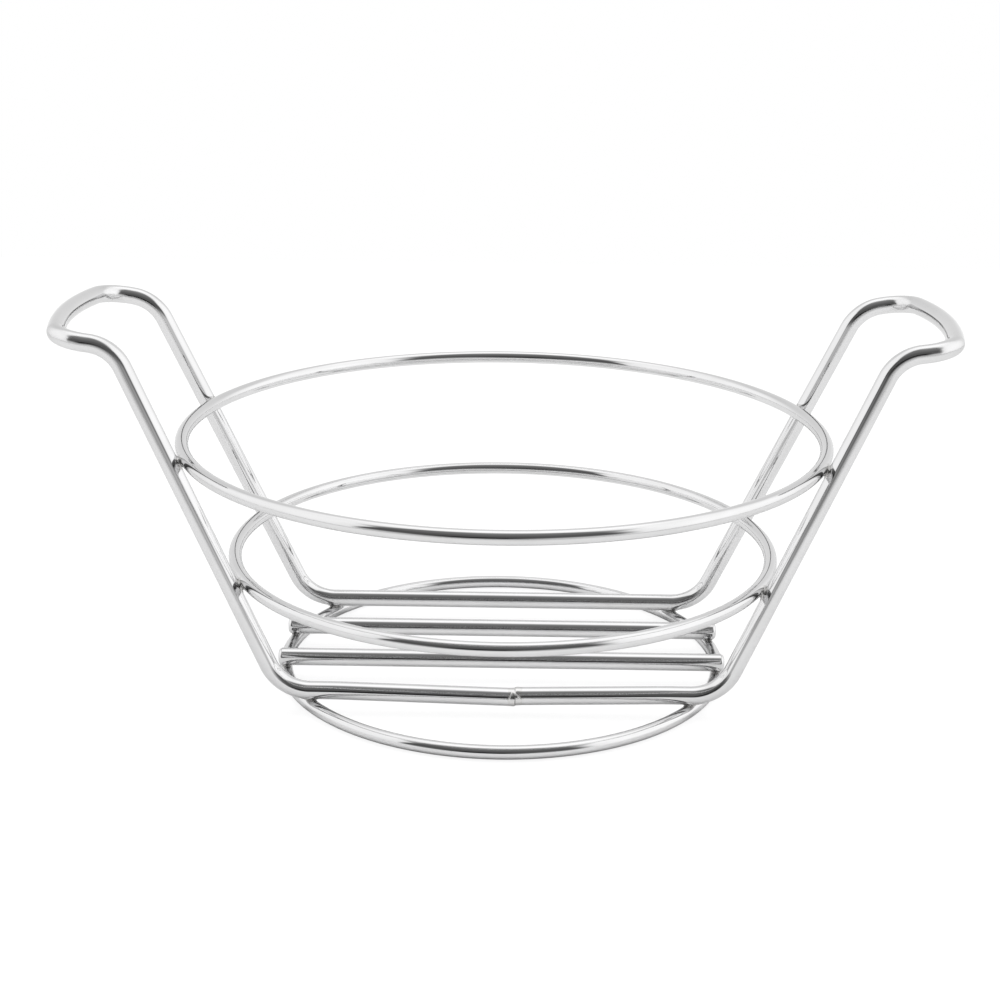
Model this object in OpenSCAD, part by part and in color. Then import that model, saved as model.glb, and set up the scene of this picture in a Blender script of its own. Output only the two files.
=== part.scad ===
// Round-wire carrier basket with two lifting handles.
// +X runs from the left grip to the right grip, +Z is up, and the origin is the
// centre of the base ring on the floor. Sizes are in millimetres.

/* [Wire] */
// Diameter of the handle frame's wire
frame_wire = 8; // [7.5:0.5:8.5]
// Diameter of the wire of the three rings
ring_wire = 6; // [5.5:0.5:6.5]
// Diameter of the two floor bars
bar_wire = 8; // [7:0.5:9]

/* [Rings] */
// Outside diameter of the top ring
top_ring_od = 293; // [290:1:295]
// Outside diameter of the middle ring
middle_ring_od = 250; // [249:1:252]
// Outside diameter of the base ring
base_ring_od = 207; // [206:1:208]
// Height of the centre of the top ring's wire above the floor
top_ring_z = 113; // [112:0.5:115]
// Height of the centre of the middle ring's wire above the floor
middle_ring_z = 58.5; // [57.5:0.5:59.5]

/* [Handle frame] */
// Angle from the X axis to an upright where it meets the top ring
top_weld_angle = 19.5; // [19:0.5:20]
// Angle from the X axis to an upright where it meets the middle ring
middle_weld_angle = 24.5; // [24:0.5:25]
// Height of the corner where an upright turns out into its grip
upright_top_z = 161.5; // [160:0.5:162.5]
// Distance from the centre to the corners of a grip
grip_corner_x = 187.5; // [187:0.5:190]
// Half the distance between the two corners of a grip
grip_corner_y = 49.5; // [48:0.5:51]
// Height of the corners of a grip
grip_corner_z = 165; // [164:0.5:167]
// How far the middle of a grip stands out past its corners
grip_bow = 10; // [8:0.5:11]
// Bend radius between a run on the floor and an upright
foot_bend_r = 20; // [14:1:22]
// Bend radius between an upright and a grip
top_bend_r = 18; // [14:1:20]
// Bend radius at the corners of a grip
grip_corner_r = 14; // [11:1:16]
// Bend radius of the bowed middle of a grip
grip_bow_r = 175; // [120:5:180]
// How much thinner the wire's radius is in a bend
bend_thinning = 0.02; // [0.01:0.01:0.05]
// Place of the butt weld along the front run
butt_weld_x = 6.5; // [-40:0.5:40]
// How far the front run dips at the butt weld, where its two halves meet at a slight angle
run_dip = 1.7; // [0.4:0.1:2]
// Distance from the centre to where the front run starts to dip
run_dip_x = 72; // [66:1:74]
// Bend radius where the front run starts to dip
run_dip_bend_r = 250; // [150:10:300]

/* [Floor bars] */
// Length of a floor bar
bar_length = 204; // [203:1:208]
// Distance from the centre line to a floor bar
bar_y = 19; // [16:0.5:22]
// Radius of the rounding at the ends of a floor bar
bar_end_r = 1.8; // [0.5:0.1:2.5]

/* [Welds] */
// Radius of a weld bead between two wires
bead_r = 3.4; // [2.8:0.1:3.8]
// Length of the bead of the butt weld
butt_bead_length = 1.2; // [0.8:0.1:2]
// How far the bead of the butt weld stands out of the wire
butt_bead_proud = 0.25; // [0.1:0.05:0.5]

/* [Hidden] */

// A weld leaves this much room between the two wires that it joins
root_gap = 0.1;
// A bend runs this far into the straight wire at each of its ends
bend_lap = 0.1;
// Straight wire that is always left between two bends
least_straight = 0.5;
// A bead is cut to fit this much of the ring on each side of it
ring_reach_angle = 4;
round_fn = 48;
ring_fn = 180;
fine_ring_fn = 720;
end_steps = 6;

frame_r = frame_wire / 2;
ring_r = ring_wire / 2;
bar_r = bar_wire / 2;
top_ring_r = top_ring_od / 2 - ring_r;
middle_ring_r = middle_ring_od / 2 - ring_r;
base_ring_r = base_ring_od / 2 - ring_r;
base_ring_z = ring_r;
run_z = ring_wire + root_gap + frame_r;
bar_z = ring_wire + root_gap + bar_r;
weld_reach = ring_r + root_gap + frame_r;

function unit(v) = v / norm(v);
function angle_between(a, b) = acos(unit(a) * unit(b));
function on_ring(radius, angle, z) = [radius * cos(angle), radius * sin(angle), z];
function along_ring(angle) = [-sin(angle), cos(angle), 0];

// The right rear upright passes outside the two rings. Its centre line goes through one
// point beside each ring, straight out along the line that is square to both wires.
top_touch = on_ring(top_ring_r, top_weld_angle, top_ring_z);
middle_touch = on_ring(middle_ring_r, middle_weld_angle, middle_ring_z);
function square_out(angle, along) = unit(cross(along_ring(angle), along));
function beside_top(along) = top_touch + weld_reach * square_out(top_weld_angle, along);
function beside_middle(along) = middle_touch + weld_reach * square_out(middle_weld_angle, along);
// Each pass turns the direction a little nearer to the line through both points
function upright_direction(along, passes) = passes == 0 ? along
    : upright_direction(unit(beside_top(along) - beside_middle(along)), passes - 1);
upright_dir = upright_direction(unit(top_touch - middle_touch), 6);
function on_upright(z) = let (p = beside_top(upright_dir)) p + upright_dir * (z - p[2]) / upright_dir[2];

// Corners of a quarter of the frame, at the right and behind the centre line
foot_corner = on_upright(run_z);
top_corner = on_upright(upright_top_z);
grip_corner = [grip_corner_x, grip_corner_y, grip_corner_z];
grip_rise = (grip_corner_z - upright_top_z) / (grip_corner_x - top_corner[0]);
grip_middle = [grip_corner_x + grip_bow, 0, grip_corner_z + grip_bow * grip_rise];

function flip(v, x, y) = [v[0] * x, v[1] * y, v[2]];
function on_front_run(x, dip) = [x, -foot_corner[1], run_z - dip];
front_run_start = on_front_run(butt_weld_x + butt_bead_length / 2, run_dip);
front_run_end = on_front_run(butt_weld_x - butt_bead_length / 2, run_dip);
right_side = [flip(foot_corner, 1, -1), flip(top_corner, 1, -1), flip(grip_corner, 1, -1), grip_middle,
    grip_corner, top_corner, foot_corner];
left_side = [for (i = [6 : -1 : 0]) flip(right_side[i], -1, 1)];
frame_line = concat([front_run_start, on_front_run(run_dip_x, 0)], right_side, left_side,
    [on_front_run(-run_dip_x, 0), front_run_end]);
// The bend at a foot starts outside the base ring, so that the run lies straight on the ring
foot_room = foot_corner[0] - sqrt(base_ring_r * base_ring_r - foot_corner[1] * foot_corner[1]);
foot_bend = min(foot_bend_r, foot_room / tan(angle_between([1, 0, 0], upright_dir) / 2));
side_bends = [foot_bend, top_bend_r, grip_corner_r, grip_bow_r, grip_corner_r, top_bend_r, foot_bend];
frame_bends = fitted_bends(frame_line,
    concat([0, run_dip_bend_r], side_bends, side_bends, [run_dip_bend_r, 0]));

// Length of straight line that a bend takes on each side of its corner
function setback(before, here, after, bend) = bend * tan(angle_between(here - before, after - here) / 2);
function bend_setback(line, bends, i) = bends[i] == 0 ? 0
    : setback(line[i - 1], line[i], line[i + 1], bends[i]);
// Share of their radii that the two bends on the line after point i have room for
function room_share(line, bends, i) = (norm(line[i + 1] - line[i]) - least_straight)
    / (bend_setback(line, bends, i) + bend_setback(line, bends, i + 1));
// Bend radii, made smaller wherever two corners are too close for them
function fitted_bends(line, bends) = [for (i = [0 : len(bends) - 1]) bends[i] == 0 ? 0
    : bends[i] * min(1, room_share(line, bends, i - 1), room_share(line, bends, i))];

// Matrix that puts the local X and Z axes along the given unit vectors, at a place
function place(x, z, at) = let (y = cross(z, x)) [[x[0], y[0], z[0], at[0]], [x[1], y[1], z[1], at[1]],
    [x[2], y[2], z[2], at[2]], [0, 0, 0, 1]];
function any_square_to(v) = unit(cross(v, abs(v[2]) < 0.9 ? [0, 0, 1] : [0, 1, 0]));

// Straight round wire between two points
module straight_wire(from, to, r) {
    along = unit(to - from);
    multmatrix(place(any_square_to(along), along, from))
        cylinder(h = norm(to - from), r = r, $fn = round_fn);
}

// Bent round wire that rounds the corner at here
module bent_wire(before, here, after, bend, r) {
    inward = unit(here - before);
    outward = unit(after - here);
    turn = angle_between(inward, outward);
    lap_turn = asin(bend_lap / bend);
    to_centre = unit(outward - inward * (inward * outward));
    start = here - inward * bend * tan(turn / 2);
    multmatrix(place(-to_centre, unit(cross(inward, outward)), start + to_centre * bend))
        rotate([0, 0, -lap_turn]) rotate_extrude(angle = turn + 2 * lap_turn, $fn = ring_fn)
            translate([bend, 0]) circle(r - bend_thinning, $fn = round_fn);
}

// Round wire along a line of points, with a bend at each corner
module formed_wire(line, bends, r) {
    for (i = [0 : len(line) - 2]) {
        along = unit(line[i + 1] - line[i]);
        straight_wire(line[i] + along * bend_setback(line, bends, i),
            line[i + 1] - along * bend_setback(line, bends, i + 1), r);
    }
    for (i = [1 : len(line) - 2]) bent_wire(line[i - 1], line[i], line[i + 1], bends[i], r);
}

module ring(radius, z) {
    translate([0, 0, z]) rotate_extrude($fn = ring_fn)
        translate([radius, 0]) circle(ring_r, $fn = round_fn);
}

// One copy in each of the four quarters
module in_four_quarters() {
    for (x = [0, 1], y = [0, 1]) mirror([x, 0, 0]) mirror([0, y, 0]) children();
}

module handle_frame_shape() {
    formed_wire(frame_line, frame_bends, frame_r);
}

// Outline of a floor bar's rounded end: distances from its centre line and from the end itself
function bar_end() = [for (i = [0 : end_steps]) let (a = 90 * i / end_steps)
    [bar_r - bar_end_r * (1 - sin(a)), bar_end_r * (1 - cos(a))]];

// Round bar along X with rounded ends
module floor_bar(y) {
    near_end = bar_end();
    far_end = [for (i = [end_steps : -1 : 0]) [near_end[i][0], bar_length - near_end[i][1]]];
    translate([-bar_length / 2, y, bar_z]) rotate([0, 90, 0]) rotate_extrude($fn = round_fn)
        polygon(concat([[0, 0]], near_end, far_end, [[0, bar_length]]));
}

module bead(at) {
    translate(at) sphere(bead_r, $fn = round_fn);
}

// Short straight stretch of the right rear upright beside a ring
module upright_beside(at) {
    straight_wire(at - upright_dir * bead_r * 2, at + upright_dir * bead_r * 2, frame_r);
}

// Short stretch of a ring on both sides of an angle
module ring_near(radius, z, angle) {
    translate([0, 0, z]) rotate([0, 0, angle - ring_reach_angle])
        rotate_extrude(angle = 2 * ring_reach_angle, $fn = fine_ring_fn)
            translate([radius, 0]) circle(ring_r, $fn = round_fn);
}

// Bead between a ring and the right rear upright, and its three mirror images
module upright_beads(ring_radius, ring_z, angle, touch, beside) {
    out = unit(beside - touch);
    in_four_quarters() difference() {
        bead(touch + out * (ring_r + root_gap / 2));
        upright_beside(beside);
        ring_near(ring_radius, ring_z, angle);
    }
}

// Bead between the base ring and a wire that lies across it along X, and its three mirror images
module crossing_beads(y, wire_r, wire_z) {
    x = sqrt(base_ring_r * base_ring_r - y * y);
    reach = [2 * bead_r, 0, 0];
    in_four_quarters() difference() {
        bead([x, y, ring_wire + root_gap / 2]);
        straight_wire([x, y, wire_z] - reach, [x, y, wire_z] + reach, wire_r);
        ring_near(base_ring_r, base_ring_z, asin(y / base_ring_r));
    }
}

module handle_frame() {
    color("gainsboro") handle_frame_shape();
}

module frame_butt_weld() {
    // The two ends lean towards each other at the top, so the bead is shorter than the gap at their axis
    lean = frame_r * run_dip / (run_dip_x - butt_weld_x);
    color("darkgray") translate(front_run_end + [lean, 0, 0]) rotate([0, 90, 0])
        cylinder(h = butt_bead_length - 2 * lean, r = frame_r + butt_bead_proud, $fn = round_fn);
}

module top_ring() {
    color("gainsboro") ring(top_ring_r, top_ring_z);
}

module middle_ring() {
    color("gainsboro") ring(middle_ring_r, middle_ring_z);
}

module base_ring() {
    color("gainsboro") ring(base_ring_r, base_ring_z);
}

module front_floor_bar() {
    color("gainsboro") floor_bar(-bar_y);
}

module rear_floor_bar() {
    color("gainsboro") floor_bar(bar_y);
}

module top_ring_welds() {
    color("darkgray") upright_beads(top_ring_r, top_ring_z, top_weld_angle, top_touch,
        beside_top(upright_dir));
}

module middle_ring_welds() {
    color("darkgray") upright_beads(middle_ring_r, middle_ring_z, middle_weld_angle, middle_touch,
        beside_middle(upright_dir));
}

module run_welds() {
    color("darkgray") crossing_beads(foot_corner[1], frame_r, run_z);
}

module bar_welds() {
    color("darkgray") crossing_beads(bar_y, bar_r, bar_z);
}

handle_frame();
frame_butt_weld();
top_ring();
middle_ring();
base_ring();
front_floor_bar();
rear_floor_bar();
top_ring_welds();
middle_ring_welds();
run_welds();
bar_welds();
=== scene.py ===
# Looks of the round-wire carrier basket. Everything is in metres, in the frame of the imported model.
import math

import bpy
import numpy as np
from mathutils import Matrix, Vector, noise


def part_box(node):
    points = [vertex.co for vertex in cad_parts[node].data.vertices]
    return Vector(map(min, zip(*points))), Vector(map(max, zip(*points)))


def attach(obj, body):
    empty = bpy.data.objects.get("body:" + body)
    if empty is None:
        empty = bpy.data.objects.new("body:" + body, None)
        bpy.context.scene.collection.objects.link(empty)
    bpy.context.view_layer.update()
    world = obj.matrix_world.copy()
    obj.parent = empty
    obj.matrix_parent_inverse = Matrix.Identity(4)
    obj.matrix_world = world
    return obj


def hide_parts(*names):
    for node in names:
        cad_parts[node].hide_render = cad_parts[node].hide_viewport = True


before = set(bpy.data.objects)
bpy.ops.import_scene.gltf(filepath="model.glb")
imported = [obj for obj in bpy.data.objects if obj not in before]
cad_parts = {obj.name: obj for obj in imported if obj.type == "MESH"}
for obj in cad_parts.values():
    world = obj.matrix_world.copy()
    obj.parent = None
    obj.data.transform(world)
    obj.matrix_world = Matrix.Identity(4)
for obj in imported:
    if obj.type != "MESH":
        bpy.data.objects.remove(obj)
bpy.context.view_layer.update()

MM = 0.001
BODY = "root"

# Driving values of the frame's route, as in part.scad
TOP_WELD_ANGLE = math.radians(19.5)
MIDDLE_WELD_ANGLE = math.radians(24.5)
UPRIGHT_TOP_Z = 161.5 * MM
GRIP_CORNER = np.array([187.5, 49.5, 165.0]) * MM
GRIP_BOW = 10 * MM
FOOT_BEND = 20 * MM
TOP_BEND = 18 * MM
GRIP_CORNER_BEND = 14 * MM
GRIP_BOW_BEND = 175 * MM
ROOT_GAP = 0.1 * MM
BUTT_WELD_X = 6.5 * MM
BUTT_BEAD_LENGTH = 1.2 * MM
BUTT_BEAD_PROUD = 0.25 * MM
RUN_DIP = 1.7 * MM
RUN_DIP_X = 72 * MM
RUN_DIP_BEND = 250 * MM
BAR_END_ROUNDING = 1.8 * MM
# The two ends of the frame's wire don't meet exactly: the left one lies this much lower
BUTT_STEP = 0.5 * MM

# Fineness of the meshes
STRAIGHT_STEP = 3.0 * MM
BEND_STEP = 0.8 * MM
FRAME_SIDES = 48
RING_SIDES = 40
RING_STATIONS = 360
BAR_STATIONS = 60
BAR_EDGE_STEPS = 14
# How far a bend dulls the wire on both sides of it
BEND_REACH = 4 * MM


# ---------------------------------------------------------------- lines in space

def unit(v):
    return v / np.linalg.norm(v)


def ring_facts(name):
    """Radius, height and wire radius of a ring, from its CAD node."""
    low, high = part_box(name)
    wire = (high.z - low.z) / 2
    return high.x - wire, (high.z + low.z) / 2, wire


TOP_R, TOP_Z, RING_WIRE = ring_facts("top_ring")
MIDDLE_R, MIDDLE_Z, _ = ring_facts("middle_ring")
BASE_R, BASE_Z, _ = ring_facts("base_ring")
BAR_LOW, BAR_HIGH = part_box("rear_floor_bar")
BAR_WIRE = (BAR_HIGH.z - BAR_LOW.z) / 2
BUTT_LOW, BUTT_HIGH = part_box("frame_butt_weld")
FRAME_WIRE = (BUTT_HIGH.y - BUTT_LOW.y) / 2 - BUTT_BEAD_PROUD
RUN_Z = 2 * RING_WIRE + ROOT_GAP + FRAME_WIRE
WELD_REACH = RING_WIRE + ROOT_GAP + FRAME_WIRE


def on_ring(radius, angle, z):
    return np.array([radius * math.cos(angle), radius * math.sin(angle), z])


def beside_ring(radius, angle, z, along):
    """Point of the upright's centre line that lies straight out from a ring's weld."""
    tangent = np.array([-math.sin(angle), math.cos(angle), 0])
    return on_ring(radius, angle, z) + WELD_REACH * unit(np.cross(tangent, along))


def find_upright():
    """A point on the right rear upright's centre line, and its direction."""
    along = unit(on_ring(TOP_R, TOP_WELD_ANGLE, TOP_Z) - on_ring(MIDDLE_R, MIDDLE_WELD_ANGLE, MIDDLE_Z))
    for _ in range(6):
        top = beside_ring(TOP_R, TOP_WELD_ANGLE, TOP_Z, along)
        along = unit(top - beside_ring(MIDDLE_R, MIDDLE_WELD_ANGLE, MIDDLE_Z, along))
    return top, along


UPRIGHT_POINT, UPRIGHT_ALONG = find_upright()


def on_upright(z):
    return UPRIGHT_POINT + UPRIGHT_ALONG * (z - UPRIGHT_POINT[2]) / UPRIGHT_ALONG[2]


FOOT_CORNER = on_upright(RUN_Z)
TOP_CORNER = on_upright(UPRIGHT_TOP_Z)
RUN_Y = -FOOT_CORNER[1]


def run_height(x):
    """Height of the front run's centre line: its two halves dip towards the butt weld."""
    side = 1 if x > BUTT_WELD_X else -1
    room = RUN_DIP_X - side * BUTT_WELD_X
    share = 1 - abs(x - BUTT_WELD_X) / room
    return RUN_Z - (RUN_DIP - side * BUTT_STEP / 2) * max(share, 0)


def frame_corners():
    """Corners of the frame's line and their bend radii, from the butt weld round to it again."""
    corner = GRIP_CORNER
    rise = (corner[2] - TOP_CORNER[2]) / (corner[0] - TOP_CORNER[0])
    grip_middle = np.array([corner[0] + GRIP_BOW, 0, corner[2] + GRIP_BOW * rise])
    front = np.array([1, -1, 1])
    right = [FOOT_CORNER * front, TOP_CORNER * front, corner * front, grip_middle, corner, TOP_CORNER,
             FOOT_CORNER]
    left = [p * np.array([-1, 1, 1]) for p in reversed(right)]
    bends = [FOOT_BEND, TOP_BEND, GRIP_CORNER_BEND, GRIP_BOW_BEND, GRIP_CORNER_BEND, TOP_BEND, FOOT_BEND]
    half_gap = BUTT_BEAD_LENGTH / 2
    start, end = BUTT_WELD_X + half_gap, BUTT_WELD_X - half_gap
    dip_right = np.array([RUN_DIP_X, RUN_Y, RUN_Z])
    dip_left = np.array([-RUN_DIP_X, RUN_Y, RUN_Z])
    line = ([np.array([start, RUN_Y, run_height(start)]), dip_right] + right + left
            + [dip_left, np.array([end, RUN_Y, run_height(end)])])
    return line, [0, RUN_DIP_BEND] + bends + bends + [RUN_DIP_BEND, 0]


def straight_points(a, b):
    steps = max(2, round(float(np.linalg.norm(b - a)) / STRAIGHT_STEP))
    return [a + (b - a) * i / steps for i in range(steps)]


def bend_points(before, here, after, radius):
    """Points round the arc that rounds a corner, both ends included."""
    inward, outward = unit(here - before), unit(after - here)
    turn = math.acos(float(np.clip(inward @ outward, -1, 1)))
    start = here - inward * radius * math.tan(turn / 2)
    square = unit(outward - inward * float(inward @ outward))
    steps = max(6, round(radius * turn / BEND_STEP))
    return [start + radius * (inward * math.sin(a) + square * (1 - math.cos(a)))
            for a in (turn * i / steps for i in range(steps + 1))]


def rounded_line(corners, bends):
    """Points along a line whose corners are rounded."""
    points, last = [], corners[0]
    for i in range(1, len(corners) - 1):
        arc = bend_points(corners[i - 1], corners[i], corners[i + 1], bends[i])
        points += straight_points(last, arc[0]) + arc[:-1]
        last = arc[-1]
    points += straight_points(last, corners[-1]) + [corners[-1]]
    return np.array(points)


# ---------------------------------------------------------------- meshes

def make_piece(name, node_names, slot, material, points, faces, places=None, **shares):
    """A smooth mesh piece that stands for CAD nodes. places are the points' coordinates in the drawn
    wire, and shares are other values at the points, such as how much weld scale and painted shade lie there."""
    mesh = bpy.data.meshes.new(name)
    mesh.from_pydata([tuple(p) for p in points], [], faces)
    mesh.polygons.foreach_set("use_smooth", [True] * len(mesh.polygons))
    if places is not None:
        mesh.attributes.new("wire_place", "FLOAT_VECTOR", "POINT").data.foreach_set(
            "vector", np.asarray(places, np.float32).ravel())
    for key, values in shares.items():
        mesh.attributes.new(key, "FLOAT", "POINT").data.foreach_set("value", np.asarray(values, np.float32))
    mesh.update()
    piece = bpy.data.objects.new(name, mesh)
    bpy.context.scene.collection.objects.link(piece)
    piece.data.materials.append(material)
    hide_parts(*node_names)
    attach(piece, BODY)
    return piece


def carried_frames(points, first_side):
    """Two directions square to the line at each point, carried along it without twist."""
    tangents = np.gradient(points, axis=0)
    tangents /= np.linalg.norm(tangents, axis=1)[:, None]
    side = unit(first_side - tangents[0] * float(first_side @ tangents[0]))
    sides = []
    for t in tangents:
        side = unit(side - t * float(side @ t))
        sides.append(side)
    sides = np.array(sides)
    return sides, np.cross(tangents, sides)


def tube(points, sides, uppers, radii, count, closed):
    """Vertices, faces and wire coordinates of a round tube along points."""
    n = len(points)
    angles = np.arange(count) * 2 * math.pi / count
    c, s = np.cos(angles), np.sin(angles)
    radii = np.broadcast_to(np.asarray(radii, float), (n,))
    ring = (sides[:, None, :] * c[None, :, None] + uppers[:, None, :] * s[None, :, None])
    verts = (points[:, None, :] + ring * radii[:, None, None]).reshape(-1, 3)
    steps = np.linalg.norm(np.diff(points, axis=0), axis=1)
    along = np.concatenate([[0], np.cumsum(steps)])
    if closed:  # the grain is mirrored half way round, so that it has no seam
        whole = along[-1] + np.linalg.norm(points[0] - points[-1])
        along = np.abs(along - whole / 2)
    places = np.stack([np.repeat(along, count), (radii[:, None] * c).ravel(), (radii[:, None] * s).ravel()],
                      axis=1)
    faces = []
    for i in range(n if closed else n - 1):
        a, b = i * count, ((i + 1) % n) * count
        for j in range(count):
            k = (j + 1) % count
            faces.append((a + j, a + k, b + k, b + j))
    if not closed:
        for row, centre, turn in ((0, points[0], -1), (n - 1, points[-1], 1)):
            verts = np.vstack([verts, centre])
            places = np.vstack([places, [along[row], 0, 0]])
            hub = len(verts) - 1
            for j in range(count):
                pair = (row * count + j, row * count + (j + 1) % count)
                faces.append((hub,) + pair[::turn])
    return verts, faces, places


def bent_share(points):
    """How tightly a line bends near each of its points: 0 is straight, 1 as tight as a grip's corner."""
    steps = np.diff(points, axis=0)
    lengths = np.linalg.norm(steps, axis=1)
    directions = steps / lengths[:, None]
    turns = np.linalg.norm(np.diff(directions, axis=0), axis=1)
    along = np.concatenate([[0], np.cumsum(lengths)])
    near = np.exp(-((along[:, None] - along[None, 1:-1]) / BEND_REACH) ** 2)
    tightness = (near * turns).sum(axis=1) / (math.sqrt(math.pi) * BEND_REACH) * GRIP_CORNER_BEND
    return np.clip(tightness, 0, 1) ** 2


def handle_frame_wire(material):
    corners, bends = frame_corners()
    points = rounded_line(corners, bends)
    sides, uppers = carried_frames(points, np.array([0, 0, 1.0]))
    verts, faces, places = tube(points, sides, uppers, FRAME_WIRE, FRAME_SIDES, closed=False)
    bent = bent_share(points)
    bent = np.concatenate([np.repeat(bent, FRAME_SIDES), [bent[0], bent[-1]]])
    return make_piece("handle_frame_wire", ["handle_frame"], "frame_wire", material, verts, faces, places,
                      bent=bent)


def ring_piece(node, material):
    radius, z, wire = ring_facts(node)
    angles = np.arange(RING_STATIONS) * 2 * math.pi / RING_STATIONS
    out = np.stack([np.cos(angles), np.sin(angles), 0 * angles], axis=1)
    points = out * radius + np.array([0, 0, z])
    up = np.broadcast_to(np.array([0, 0, -1.0]), out.shape)
    verts, faces, places = tube(points, out, up, wire, RING_SIDES, closed=True)
    return make_piece(node + "_wire", [node], "ring_wire", material, verts, faces, places)


def floor_bar_rod(node, material):
    """Straight bar whose ends are rounded over."""
    low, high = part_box(node)
    y, z, half = (low.y + high.y) / 2, (low.z + high.z) / 2, high.x
    flat, edge = BAR_WIRE - BAR_END_ROUNDING, BAR_END_ROUNDING
    straight_from = edge * 1.2
    turns = [math.pi / 2 * i / BAR_EDGE_STEPS for i in range(BAR_EDGE_STEPS + 1)]
    rounding = [(edge * (1 - math.sin(a)), flat + edge * math.cos(a)) for a in reversed(turns)]
    # distance from the bar's end and radius there, from the middle of the end outwards
    profile = [(0, flat * 0.5), (0, flat * 0.85)] + rounding + [(straight_from, BAR_WIRE)]
    start, length = straight_from - half, 2 * (half - straight_from)
    inner = [start + length * i / BAR_STATIONS for i in range(1, BAR_STATIONS)]
    xs = [-half + d for d, _ in profile] + inner + [half - d for d, _ in reversed(profile)]
    radii = [r for _, r in profile] + [BAR_WIRE] * len(inner) + [r for _, r in reversed(profile)]
    points = np.array([[x, y, z] for x in xs])
    side = np.broadcast_to(np.array([0, 0, 1.0]), points.shape)
    upper = np.broadcast_to(np.array([0, -1.0, 0]), points.shape)
    verts, faces, places = tube(points, side, upper, radii, FRAME_SIDES, closed=False)
    return make_piece(node + "_rod", [node], "floor_bar", material, verts, faces, places)


# ---------------------------------------------------------------- welds

# Size of the fused metal between two wires: how wide it fills the crease, and how uneven it is
UPRIGHT_FILLET, UPRIGHT_RIPPLE = 2.1 * MM, 0.12 * MM
CROSSING_FILLET, CROSSING_RIPPLE = 1.3 * MM, 0.03 * MM
NUGGET_REACH = 4.1 * MM
NUGGET_SUNK = 0.03 * MM
NUGGET_ROWS = 36
NUGGET_COLUMNS = 60
NUGGET_PROBES = 49
NUGGET_HALVINGS = 18
LUMP_SIZE = 1.3 * MM
# How far from the crease between two wires the weld is darkened: partly scale, partly painted shade
SCALE_AND_SHADE_REACH = 1.6 * MM


def smooth_min(a, b, k):
    h = np.maximum(k - np.abs(a - b), 0) / k
    return np.minimum(a, b) - h * h * k / 4


def distance_to_ring(points, radius, z):
    return np.hypot(np.hypot(points[..., 0], points[..., 1]) - radius, points[..., 2] - z) - RING_WIRE


def distance_to_rod(points, at, along, wire):
    rel = points - at
    return np.linalg.norm(rel - (rel @ along)[..., None] * along, axis=-1) - wire


def distance_to_bar(points, y, z, wire, half):
    """Distance to a bar along X that ends at half on both sides, with rounded ends."""
    beside = np.hypot(points[..., 1] - y, points[..., 2] - z) - (wire - BAR_END_ROUNDING)
    beyond = np.abs(points[..., 0]) - (half - BAR_END_ROUNDING)
    outside = np.hypot(np.maximum(beside, 0), np.maximum(beyond, 0))
    return outside + np.minimum(np.maximum(beside, beyond), 0) - BAR_END_ROUNDING


def sphere_grid():
    """Directions of a sphere with one vertex at each pole, and its faces."""
    directions = [(0, 0, 1.0)]
    for i in range(1, NUGGET_ROWS):
        a = math.pi * i / NUGGET_ROWS
        for j in range(NUGGET_COLUMNS):
            b = 2 * math.pi * j / NUGGET_COLUMNS
            directions.append((math.sin(a) * math.cos(b), math.sin(a) * math.sin(b), math.cos(a)))
    directions.append((0, 0, -1.0))
    last = len(directions) - 1
    faces = []
    for j in range(NUGGET_COLUMNS):
        k = (j + 1) % NUGGET_COLUMNS
        faces.append((0, 1 + j, 1 + k))
        for i in range(NUGGET_ROWS - 2):
            a, b = 1 + i * NUGGET_COLUMNS, 1 + (i + 1) * NUGGET_COLUMNS
            faces.append((a + j, b + j, b + k, a + k))
        foot = 1 + (NUGGET_ROWS - 2) * NUGGET_COLUMNS
        faces.append((last, foot + k, foot + j))
    return np.array(directions), faces


def nugget(centre, ring, to_rod, fillet, uneven, seed):
    """Points of the fused metal between a ring and a rod, round the spot where they touch. to_rod gives
    the distance of points to the rod."""
    directions, faces = sphere_grid()
    radius, z = ring

    def inside(t):
        p = centre + directions * t[:, None]
        d = smooth_min(distance_to_ring(p, radius, z), to_rod(p), fillet)
        return np.maximum(d + NUGGET_SUNK, t - NUGGET_REACH)

    # the surface is where a line from the centre first leaves the metal, found by halving
    far = NUGGET_REACH * 1.2
    steps = np.linspace(0, 1, NUGGET_PROBES)[1:]
    first_out = np.full(len(directions), -1)
    for i, share in enumerate(steps):
        out = inside(np.full(len(directions), far * share)) > 0
        first_out = np.where((first_out < 0) & out, i, first_out)
    low = far * np.where(first_out > 0, steps[first_out - 1], 0)
    high = far * steps[first_out]
    for _ in range(NUGGET_HALVINGS):
        middle = (low + high) / 2
        out = inside(middle) > 0
        low, high = np.where(out, low, middle), np.where(out, middle, high)
    surface = centre + directions * low[:, None]
    ripple = np.array([noise.noise(Vector(p) / LUMP_SIZE + Vector((seed * 7.3, 0, 0))) for p in surface])
    surface = surface + directions * (ripple * uneven)[:, None]
    # darkening near the crease where the two wires meet: partly weld scale, partly painted shade
    gap = np.abs(distance_to_ring(surface, radius, z)) + np.abs(to_rod(surface))
    shade = np.clip(1 - gap / SCALE_AND_SHADE_REACH, 0, 1)
    return surface, faces, shade


def nugget_piece(name, node, material, nuggets):
    """One piece of four nuggets."""
    verts, faces, shades = [], [], []
    for points, its_faces, shade in nuggets:
        start = sum(len(v) for v in verts)
        faces += [tuple(start + i for i in f) for f in its_faces]
        verts.append(points)
        shades.append(shade)
    verts = np.vstack(verts)
    return make_piece(name, [node], "weld_bead", material, verts, faces, verts,
                      scale_shade=np.concatenate(shades))


def quarters():
    return [(x, y) for x in (1, -1) for y in (1, -1)]


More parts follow.
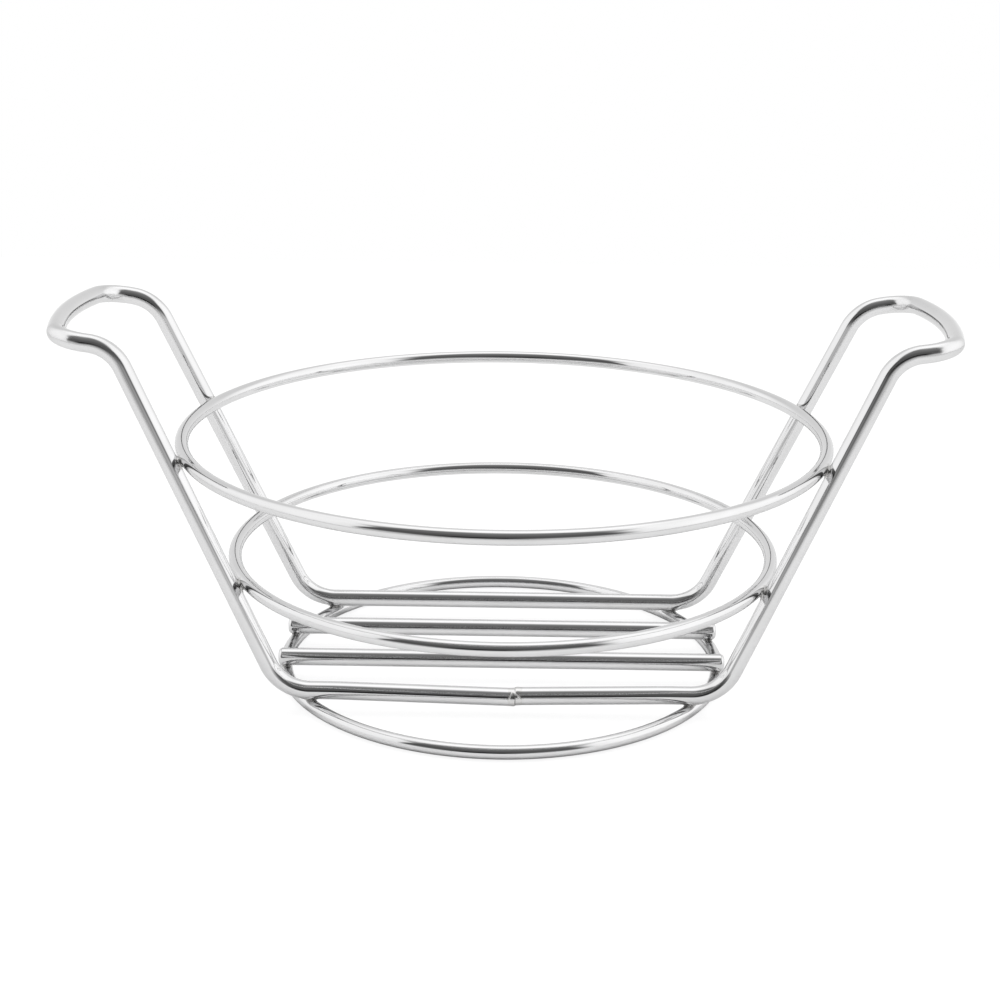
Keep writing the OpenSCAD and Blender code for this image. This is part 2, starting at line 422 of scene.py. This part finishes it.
def upright_welds(node, radius, angle, z, material, seed):
    touch = on_ring(radius, angle, z)
    beside = beside_ring(radius, angle, z, UPRIGHT_ALONG)
    middle = touch + unit(beside - touch) * (RING_WIRE + ROOT_GAP / 2)
    nuggets = []
    for i, (x, y) in enumerate(quarters()):
        flip = np.array([x, y, 1])
        nuggets.append(nugget(
            middle * flip, (radius, z),
            lambda p: distance_to_rod(p, beside * flip, UPRIGHT_ALONG * flip, FRAME_WIRE),
            UPRIGHT_FILLET, UPRIGHT_RIPPLE, seed + i))
    return nugget_piece(node + "_metal", node, material, nuggets)


def crossing_welds(node, distance, wire, half, material, seed):
    """Welds where a straight wire along X, half long on each side, lies across the base ring."""
    height = 2 * RING_WIRE + ROOT_GAP + wire
    x_here = math.sqrt(BASE_R ** 2 - distance ** 2)
    nuggets = []
    for i, (x, y) in enumerate(quarters()):
        flip = np.array([x, y, 1])
        middle = np.array([x_here, distance, 2 * RING_WIRE + ROOT_GAP / 2]) * flip
        nuggets.append(nugget(middle, (BASE_R, BASE_Z),
                              lambda p: distance_to_bar(p, distance * y, height, wire, half),
                              CROSSING_FILLET, CROSSING_RIPPLE, seed + i))
    return nugget_piece(node + "_metal", node, material, nuggets)


SLEEVE_HALF = 4.6 * MM
SLEEVE_STATIONS = 93
SLEEVE_SIDES = 120
# Over 1, this crowds the stations towards the seam
SLEEVE_CROWDING = 1.5
# How far the sleeve stands out at its middle and sinks into the wire at its ends
SLEEVE_PROUD, SLEEVE_SUNK = 0.02 * MM, 0.25 * MM
SWELL, SWELL_WIDTH = 0.10 * MM, 1.6 * MM
EDGE_HEIGHT, EDGE_WIDTH = 0.16 * MM, 0.30 * MM
SEAM_DEPTH, SEAM_WIDTH = 0.22 * MM, 0.10 * MM
# The seam shows between these angles down the front of the wire, and fades within SEAM_FADE radians
SEAM_FROM, SEAM_TO, SEAM_FADE = math.radians(60), math.radians(168), 0.05
# A shallow hollow above the seam, whose colour is darkened as painted shade
HOLLOW_DEPTH, HOLLOW_LENGTH, HOLLOW_WIDTH = 0.05 * MM, 0.9 * MM, 0.5 * MM
HOLLOW_ANGLE = math.radians(64)
RIPPLE_HEIGHT, RIPPLE_SIZE, RIPPLE_REACH = 0.02 * MM, 0.9 * MM, 2 * MM
STEP_BLEND = 0.15 * MM
# The filed edges of the butt weld meet above its seam: (along the run, angle down the front) of each end
EDGE_TOP = (-1.0 * MM, 38)
EDGE_ENDS = ((-3.1 * MM, 84), (2.8 * MM, 84))


def bell(value, width):
    return np.exp(-(value / width) ** 2)


def distance_to_edge(x, arc, a, b):
    """Distance on the wire's unrolled surface from points to the line between a and b."""
    ax, ay = a[0], FRAME_WIRE * math.radians(a[1])
    dx, dy = b[0] - ax, FRAME_WIRE * math.radians(b[1]) - ay
    t = np.clip(((x - ax) * dx + (arc - ay) * dy) / (dx * dx + dy * dy), 0, 1)
    return np.hypot(x - ax - t * dx, arc - ay - t * dy)


def butt_weld_metal(material):
    """Sleeve of weld metal round the joint of the frame's wire, with a seam and two filed edges. The seam is
    darkened with scale and painted shade, and the hollow above it with painted shade.
    """
    share = np.linspace(-1, 1, SLEEVE_STATIONS)
    x = SLEEVE_HALF * np.sign(share) * np.abs(share) ** SLEEVE_CROWDING
    angles = np.arange(SLEEVE_SIDES) * 2 * math.pi / SLEEVE_SIDES
    down_front = (angles + math.pi) % (2 * math.pi) - math.pi
    xx, arc = np.meshgrid(x, FRAME_WIRE * down_front, indexing="ij")
    angle = arc / FRAME_WIRE
    edges = [distance_to_edge(xx, arc, EDGE_TOP, end) for end in EDGE_ENDS]
    edge = bell(np.minimum(*edges), EDGE_WIDTH)
    front = 1 / (1 + np.exp(-(angle - SEAM_FROM) / SEAM_FADE))
    seam = bell(xx, SEAM_WIDTH) * front / (1 + np.exp((angle - SEAM_TO) / SEAM_FADE))
    hollow = bell(xx, HOLLOW_LENGTH) * bell(arc - FRAME_WIRE * HOLLOW_ANGLE, HOLLOW_WIDTH)
    swell = SWELL * bell(xx, SWELL_WIDTH)
    ripple = np.array([[noise.noise(Vector((px, py, 0)) / RIPPLE_SIZE) for px, py in zip(rx, ry)]
                       for rx, ry in zip(xx, arc)])
    fade = 1 - (np.abs(xx) / SLEEVE_HALF) ** 6
    height = (swell + EDGE_HEIGHT * edge - SEAM_DEPTH * seam - HOLLOW_DEPTH * hollow
              + RIPPLE_HEIGHT * ripple * bell(xx, RIPPLE_REACH))
    radius = FRAME_WIRE + (SLEEVE_PROUD + height) * fade - SLEEVE_SUNK * (1 - fade)
    # heights of the run's two ends at the seam, between which the sleeve blends
    left, right = (run_height(BUTT_WELD_X + aside) for aside in (-1e-9, 1e-9))
    points, places = [], []
    for i, px in enumerate(x):
        blend = 1 / (1 + math.exp(-px / STEP_BLEND))
        step = left * (1 - blend) + right * blend
        z = run_height(BUTT_WELD_X + px) + step - (right if px > 0 else left)
        for j, a in enumerate(angles):
            r = radius[i, j]
            points.append((BUTT_WELD_X + px, RUN_Y - r * math.sin(a), z + r * math.cos(a)))
            places.append((px, r * math.cos(a), r * math.sin(a)))
    n = SLEEVE_SIDES
    faces = []
    for i in range(SLEEVE_STATIONS - 1):
        for j in range(n):
            k = (j + 1) % n
            faces.append((i * n + j, i * n + k, (i + 1) * n + k, (i + 1) * n + j))
    # darkening of the seam, partly scale and partly painted shade, and painted shade in the hollow
    shade = np.append(np.clip(seam + 0.9 * hollow * (1 - edge), 0, 1).ravel(), [0, 0])
    filed = np.append(edge.ravel(), [0, 0])
    for row, turn in ((0, -1), (SLEEVE_STATIONS - 1, 1)):
        centre = np.mean(np.array(points[row * n:row * n + n]), axis=0)
        points.append(tuple(centre))
        places.append((x[row], 0, 0))
        hub = len(points) - 1
        for j in range(n):
            pair = (row * n + j, row * n + (j + 1) % n)
            faces.append((hub,) + pair[::turn])
    return make_piece("frame_butt_weld_metal", ["frame_butt_weld"], "weld_bead", material, points, faces,
                      places, scale_shade=shade, filed=filed)


# ---------------------------------------------------------------- materials

def new_tree(owner):
    owner.use_nodes = True
    owner.node_tree.nodes.clear()
    return owner.node_tree


def add(tree, kind, values=None, **settings):
    """A node with some of its settings and unlinked inputs given. A value that is a socket is linked."""
    n = tree.nodes.new(kind)
    for key, value in settings.items():
        setattr(n, key, value)
    for key, value in (values or {}).items():
        if isinstance(value, bpy.types.NodeSocket):
            tree.links.new(value, n.inputs[key])
        else:
            n.inputs[key].default_value = value
    return n


def math_node(tree, operation, a, b=0.0, c=0.0):
    return add(tree, "ShaderNodeMath", {0: a, 1: b, 2: c}, operation=operation).outputs[0]


def map_range(tree, value, from_low, from_high, to_low, to_high, kind="LINEAR"):
    return add(tree, "ShaderNodeMapRange", {"Value": value, "From Min": from_low, "From Max": from_high,
                                            "To Min": to_low, "To Max": to_high},
               interpolation_type=kind).outputs[0]


def mix_colours(tree, share, a, b):
    """Colour that goes from a to b as the share goes from 0 to 1. Both are colours or sockets."""
    # a Mix node's colour inputs share their names with its other kinds, so they are given by place
    return add(tree, "ShaderNodeMix", {"Factor": share, 6: a, 7: b}, data_type="RGBA").outputs[2]


def noise_node(tree, vector, scale, detail=2.0, roughness=0.5):
    return add(tree, "ShaderNodeTexNoise", {"Vector": vector, "Scale": scale, "Detail": detail,
                                            "Roughness": roughness}).outputs["Fac"]


def stretched(tree, vector, along, across):
    """The wire's coordinates, scaled along and across it."""
    return add(tree, "ShaderNodeVectorMath", {0: vector, 1: (along, across, across)},
               operation="MULTIPLY").outputs[0]


# Reflection colours between which the steel changes slowly, and how much the metal's glancing edge keeps
STEEL_DARK, STEEL_LIGHT = (0.605, 0.604, 0.606, 1), (0.645, 0.644, 0.648, 1)
METAL_TINT = (0.8, 0.8, 0.8, 1)
# Roughness of the wires, and how much more the tightest bends have
FRAME_POLISH, RING_POLISH, BAR_POLISH = 0.045, 0.045, 0.055
BEND_DULLNESS = 0.11
# The drawn wire's patterns: how often each changes in a metre along the wire, and across it
LINES, BANDS, WAVES = (40, 2600), (12, 500), (22, 60)
# How often its slow changes of finish come in a metre, and the heights of its waves and lines
CLOUDS = 55.0
WAVE_HEIGHT, LINE_HEIGHT = 0.007 * MM, 0.0005 * MM
# Colours of bare weld metal and of the darkening in its creases and seam, which is partly scale and partly
# painted shade
WELD_BARE, WELD_SCALE_AND_SHADE = (0.60, 0.595, 0.59, 1), (0.06, 0.058, 0.055, 1)
# How often its spots and grains come in a metre, and how high they stand
SPOTS, GRAINS = 900.0, 2600.0
SPOT_HEIGHT, GRAIN_HEIGHT = 0.03 * MM, 0.01 * MM
# Its roughness between spots and on them, and how much more it has where the scale and painted shade lie and
# where it was filed
WELD_POLISH = (0.08, 0.15)
SCALE_DULLNESS, FILED_DULLNESS = 0.3, 0.45


def stainless(name, polish):
    """Polished drawn stainless wire: a mirror with faint lines along it and slow changes in its finish."""
    material = bpy.data.materials.new(name)
    tree = new_tree(material)
    place = add(tree, "ShaderNodeAttribute", attribute_name="wire_place").outputs["Vector"]
    where = add(tree, "ShaderNodeTexCoord").outputs["Object"]
    lines = noise_node(tree, stretched(tree, place, *LINES), 1.0, 3.0, 0.6)
    bands = noise_node(tree, stretched(tree, place, *BANDS), 1.0, 2.0)
    clouds = noise_node(tree, where, CLOUDS, 3.0)
    waves = noise_node(tree, stretched(tree, place, *WAVES), 1.0, 1.0)
    mix = math_node(tree, "MULTIPLY_ADD", clouds, 0.6, math_node(tree, "MULTIPLY", bands, 0.4))
    tone = map_range(tree, mix, 0.35, 0.65, 0.0, 1.0)
    colour = mix_colours(tree, tone, STEEL_DARK, STEEL_LIGHT)
    rough = map_range(tree, mix, 0.3, 0.7, polish * 0.8, polish * 1.35)
    bent = add(tree, "ShaderNodeAttribute", attribute_name="bent").outputs["Fac"]
    rough = math_node(tree, "MULTIPLY_ADD", bent, BEND_DULLNESS, rough)
    coarse = add(tree, "ShaderNodeBump", {"Strength": 1.0, "Distance": WAVE_HEIGHT, "Height": waves})
    fine = add(tree, "ShaderNodeBump", {"Strength": 1.0, "Distance": LINE_HEIGHT, "Height": lines,
                                        "Normal": coarse.outputs[0]})
    shader = add(tree, "ShaderNodeBsdfPrincipled", {
        "Metallic": 1.0, "Base Color": colour, "Roughness": rough,
        "Specular Tint": METAL_TINT, "Normal": fine.outputs[0]})
    add(tree, "ShaderNodeOutputMaterial", {"Surface": shader.outputs[0]})
    return material


def weld_metal():
    """Melted and wiped metal: rounder and duller than the wire, darkened in its creases and seam by scale and
    painted shade.
    """
    material = bpy.data.materials.new("weld_metal")
    tree = new_tree(material)
    where = add(tree, "ShaderNodeTexCoord").outputs["Object"]
    shade = add(tree, "ShaderNodeAttribute", attribute_name="scale_shade").outputs["Fac"]
    spots = noise_node(tree, where, SPOTS, 3.0)
    grains = noise_node(tree, where, GRAINS, 2.0)
    # share of the dark colour: partly weld scale, partly painted shade
    scale = math_node(tree, "MULTIPLY", shade, map_range(tree, spots, 0.35, 0.6, 0.75, 1.0))
    colour = mix_colours(tree, scale, WELD_BARE, WELD_SCALE_AND_SHADE)
    filed = add(tree, "ShaderNodeAttribute", attribute_name="filed").outputs["Fac"]
    rough = map_range(tree, spots, 0.3, 0.7, *WELD_POLISH)
    rough = math_node(tree, "MULTIPLY_ADD", scale, SCALE_DULLNESS, rough)
    rough = math_node(tree, "MULTIPLY_ADD", filed, FILED_DULLNESS, rough)
    bump = add(tree, "ShaderNodeBump", {"Strength": 1.0, "Distance": GRAIN_HEIGHT, "Height": grains})
    lumps = add(tree, "ShaderNodeBump", {"Strength": 1.0, "Distance": SPOT_HEIGHT, "Height": spots,
                                         "Normal": bump.outputs[0]})
    shader = add(tree, "ShaderNodeBsdfPrincipled", {
        "Metallic": 1.0, "Base Color": colour, "Roughness": rough,
        "Specular Tint": METAL_TINT, "Normal": lumps.outputs[0]})
    add(tree, "ShaderNodeOutputMaterial", {"Surface": shader.outputs[0]})
    return material


# Share of the floor's look that is even light from below, so that only close shadows show, and its strength
PAPER_GLOW, GLOW_STRENGTH = 0.82, 1.06
PAPER_DARK, PAPER_LIGHT = (0.895, 0.895, 0.895, 1), (0.905, 0.905, 0.905, 1)
PAPER_CLOUDS = 9.0


def pale_paper():
    """Pale studio paper on a light table, with painted shade darkening its front in the metal's reflections.
    """
    material = bpy.data.materials.new("studio_paper")
    tree = new_tree(material)
    where = add(tree, "ShaderNodeTexCoord").outputs["Object"]
    tone = map_range(tree, noise_node(tree, where, PAPER_CLOUDS, 4.0), 0.3, 0.7, 0.0, 1.0)
    colour = mix_colours(tree, tone, PAPER_DARK, PAPER_LIGHT)
    seen = add(tree, "ShaderNodeLightPath").outputs["Is Camera Ray"]
    place = add(tree, "ShaderNodeSeparateXYZ", {"Vector": where})
    # painted shade towards the front, for all but camera rays
    far = map_range(tree, place.outputs["Y"], -FLOOR_SHADE_START, -FLOOR_FRONT, 0.0, 1.0)
    far = math_node(tree, "MULTIPLY", far, math_node(tree, "SUBTRACT", 1.0, seen))
    shaded_paper = mix_colours(tree, far, colour, FLOOR_PAINTED_SHADE)
    paper = add(tree, "ShaderNodeBsdfPrincipled", {"Base Color": shaded_paper, "Roughness": 0.9,
                                                   "Specular IOR Level": 0.1})
    lit = add(tree, "ShaderNodeEmission", {"Color": (1, 1, 1, 1), "Strength": GLOW_STRENGTH})
    share = math_node(tree, "MULTIPLY", seen, PAPER_GLOW)
    both = add(tree, "ShaderNodeMixShader", {0: share, 1: paper.outputs[0], 2: lit.outputs[0]})
    add(tree, "ShaderNodeOutputMaterial", {"Surface": both.outputs[0]})
    return material


# ---------------------------------------------------------------- studio

FLOOR_FRONT = 0.85
FLOOR_BACK = 1.0
FLOOR_SIDE = 2.2
# Painted shade: in the metal's reflections the paper's colour gets darker from here to its front edge, where
# it is the grey given below, in place of the dimmer light near the tent's opening
FLOOR_SHADE_START = 0.28
FLOOR_PAINTED_SHADE = (0.52, 0.52, 0.52, 1)
OVERHEAD_HEIGHT = 1.2
OVERHEAD_SIZE = 1.6
OVERHEAD_POWER = 7.2
# Light of the tent by elevation in degrees, in units of LIGHT_UNIT
LIGHT_UNIT = 1.6
BEHIND = ((-90, 0.78), (0, 0.78), (12, 0.72), (40, 0.61), (50, 0.80), (60, 1.0), (78, 1.0), (90, 0.92))
BESIDE = ((-90, 0.90), (0, 0.86), (10, 0.94), (25, 0.96), (42, 0.94), (60, 0.90), (75, 0.92), (90, 0.90))
HIGH_BEFORE = ((32, 0.08), (42, 0.105), (52, 0.135), (62, 0.15), (72, 0.19), (82, 0.33), (90, 0.55))
BEFORE = ((-90, 0.55), (-16, 0.50), (-11, 0.42), (-7, 0.39), (-3, 0.30), (0, 0.18), (3, 0.09), (6, 0.035),
          (9, 0.010), (15, 0.012), (19, 0.055), (24, 0.085)) + HIGH_BEFORE
# The same towards the left and right edges of the tent's opening, where its low parts are brighter
BEFORE_ASIDE = ((-90, 0.60), (-12, 0.55), (-7, 0.50), (-3, 0.50), (0, 0.50), (3, 0.42), (6, 0.30), (10, 0.17),
                (15, 0.09), (20, 0.085)) + HIGH_BEFORE
# Where that starts and is full, as the sine of the azimuth, on the left and on the right
ASIDE_LEFT, ASIDE_RIGHT = (0.20, 0.62), (-0.05, 0.40)
# Share of the light that the left end of the tent gives
LEFT_SHARE = 0.9
# Half the width of the tent's opening, as the cosine of its azimuth, and how soft its edges are
OPEN_LEFT, OPEN_RIGHT = 0.66, 0.73
SOFT_LEFT, SOFT_RIGHT = 0.03, 0.07
# Above this height, as the sine of the elevation, the opening gets wider and softer
OPEN_TOP, OPEN_SPREAD, OPEN_SOFTENING = 0.64, 1.1, 0.9
# The tent's left and right halves blend within this much of X
HALVES_BLEND = 0.05
# Where its back changes to its sides, as the sine of the azimuth
SIDE_START, SIDE_FULL = 0.55, 0.95


def elevation_ramp(tree, height, steps):
    ramp = add(tree, "ShaderNodeValToRGB", {"Fac": height})
    elements = ramp.color_ramp.elements
    while len(elements) > 1:
        elements.remove(elements[-1])
    for i, (degrees, level) in enumerate(steps):
        position = math.sin(math.radians(degrees)) / 2 + 0.5
        element = elements[0] if i == 0 else elements.new(position)
        element.position = position
        element.color = (level, level, level, 1)
    return ramp.outputs[0]


def left_to_right(tree, x, left, right):
    """The value for the tent's left half or its right half."""
    return map_range(tree, x, -HALVES_BLEND, HALVES_BLEND, left, right)


def light_tent():
    """World of a light tent: bright cloth all round, and a dark opening at the front."""
    world = bpy.data.worlds.new("light_tent")
    bpy.context.scene.world = world
    tree = new_tree(world)
    direction = add(tree, "ShaderNodeTexCoord").outputs["Generated"]
    x, y, z = add(tree, "ShaderNodeSeparateXYZ", {0: direction}).outputs
    level = math_node(tree, "MAXIMUM", math_node(tree, "SQRT", math_node(
        tree, "MAXIMUM", math_node(tree, "SUBTRACT", 1.0, math_node(tree, "MULTIPLY", z, z)), 0.0)), 1e-4)
    forward = math_node(tree, "DIVIDE", math_node(tree, "MULTIPLY", y, -1.0), level)
    sideways = math_node(tree, "DIVIDE", math_node(tree, "ABSOLUTE", x), level)
    spread = math_node(tree, "MULTIPLY", OPEN_SPREAD, math_node(
        tree, "MAXIMUM", math_node(tree, "SUBTRACT", z, OPEN_TOP), 0.0))
    softness = math_node(tree, "MULTIPLY_ADD", spread, OPEN_SOFTENING,
                         left_to_right(tree, x, SOFT_LEFT, SOFT_RIGHT))
    edge = math_node(tree, "SUBTRACT", left_to_right(tree, x, OPEN_LEFT, OPEN_RIGHT), spread)
    open_share = map_range(tree, forward, math_node(tree, "SUBTRACT", edge, softness),
                           math_node(tree, "ADD", edge, softness), 0.0, 1.0, "SMOOTHSTEP")
    side_share = map_range(tree, sideways, SIDE_START, SIDE_FULL, 0.0, 1.0, "SMOOTHSTEP")
    height = math_node(tree, "MULTIPLY_ADD", z, 0.5, 0.5)
    cloth = mix_colours(tree, side_share, elevation_ramp(tree, height, BEHIND),
                        elevation_ramp(tree, height, BESIDE))
    aside = map_range(tree, sideways, left_to_right(tree, x, ASIDE_LEFT[0], ASIDE_RIGHT[0]),
                      left_to_right(tree, x, ASIDE_LEFT[1], ASIDE_RIGHT[1]), 0.0, 1.0, "SMOOTHSTEP")
    before = mix_colours(tree, aside, elevation_ramp(tree, height, BEFORE),
                         elevation_ramp(tree, height, BEFORE_ASIDE))
    tent = mix_colours(tree, open_share, cloth, before)
    strength = map_range(tree, x, -1.0, 0.0, LEFT_SHARE * LIGHT_UNIT, LIGHT_UNIT)
    lit = add(tree, "ShaderNodeBackground", {"Color": tent, "Strength": strength})
    plain = add(tree, "ShaderNodeBackground", {"Color": (1, 1, 1, 1), "Strength": 1.0})
    seen = add(tree, "ShaderNodeLightPath").outputs["Is Camera Ray"]
    both = add(tree, "ShaderNodeMixShader", {0: seen, 1: lit.outputs[0], 2: plain.outputs[0]})
    add(tree, "ShaderNodeOutputWorld", {"Surface": both.outputs[0]})


def studio_floor():
    mesh = bpy.data.meshes.new("studio_floor")
    mesh.from_pydata([(-FLOOR_SIDE, -FLOOR_FRONT, 0), (FLOOR_SIDE, -FLOOR_FRONT, 0),
                      (FLOOR_SIDE, FLOOR_BACK, 0), (-FLOOR_SIDE, FLOOR_BACK, 0)], [], [(0, 1, 2, 3)])
    floor = bpy.data.objects.new("studio_floor", mesh)
    bpy.context.scene.collection.objects.link(floor)
    floor.data.materials.append(pale_paper())


def overhead_light():
    """Soft light that whitens the floor."""
    data = bpy.data.lights.new("overhead_light", "AREA")
    data.shape = "SQUARE"
    data.size = OVERHEAD_SIZE
    data.energy = OVERHEAD_POWER
    light = bpy.data.objects.new("overhead_light", data)
    light.location = (0, 0, OVERHEAD_HEIGHT)
    light.visible_glossy = False
    light.visible_camera = False
    bpy.context.scene.collection.objects.link(light)


# Where the camera stands, towards a point on the basket's middle plane
CAMERA_ELEVATION = math.radians(18.163)
CAMERA_AZIMUTH = math.radians(0.454)
CAMERA_ROLL = math.radians(0.673)
CAMERA_DISTANCE = 0.82748
CAMERA_TARGET = Vector((-0.00156, 0, 0.08083))
SENSOR = 36.0
LENS = 65.257


def camera():
    data = bpy.data.cameras.new("camera")
    data.sensor_width = SENSOR
    data.lens = LENS
    data.clip_start, data.clip_end = 0.01, 20.0
    cam = bpy.data.objects.new("camera", data)
    bpy.context.scene.collection.objects.link(cam)
    back = Vector((math.sin(CAMERA_AZIMUTH) * math.cos(CAMERA_ELEVATION),
                   -math.cos(CAMERA_AZIMUTH) * math.cos(CAMERA_ELEVATION), math.sin(CAMERA_ELEVATION)))
    right = (-back).cross(Vector((0, 0, 1))).normalized()
    up = right.cross(-back)
    rolled_right = right * math.cos(CAMERA_ROLL) + up * math.sin(CAMERA_ROLL)
    rolled_up = up * math.cos(CAMERA_ROLL) - right * math.sin(CAMERA_ROLL)
    turn = Matrix((rolled_right, rolled_up, back)).transposed().to_4x4()
    cam.matrix_world = Matrix.Translation(CAMERA_TARGET + back * CAMERA_DISTANCE) @ turn
    bpy.context.scene.camera = cam


def main():
    bpy.context.scene.view_settings.view_transform = "Standard"
    camera()
    frame_steel = stainless("frame_stainless", FRAME_POLISH)
    ring_steel = stainless("ring_stainless", RING_POLISH)
    bar_steel = stainless("bar_stainless", BAR_POLISH)
    weld = weld_metal()
    handle_frame_wire(frame_steel)
    for node in ("top_ring", "middle_ring", "base_ring"):
        ring_piece(node, ring_steel)
    for node in ("front_floor_bar", "rear_floor_bar"):
        floor_bar_rod(node, bar_steel)
    butt_weld_metal(weld)
    upright_welds("top_ring_welds", TOP_R, TOP_WELD_ANGLE, TOP_Z, weld, 1)
    upright_welds("middle_ring_welds", MIDDLE_R, MIDDLE_WELD_ANGLE, MIDDLE_Z, weld, 11)
    crossing_welds("run_welds", FOOT_CORNER[1], FRAME_WIRE, 2 * BASE_R, weld, 21)
    crossing_welds("bar_welds", BAR_LOW.y + BAR_WIRE, BAR_WIRE, BAR_HIGH.x, weld, 31)
    studio_floor()
    overhead_light()
    light_tent()


main()
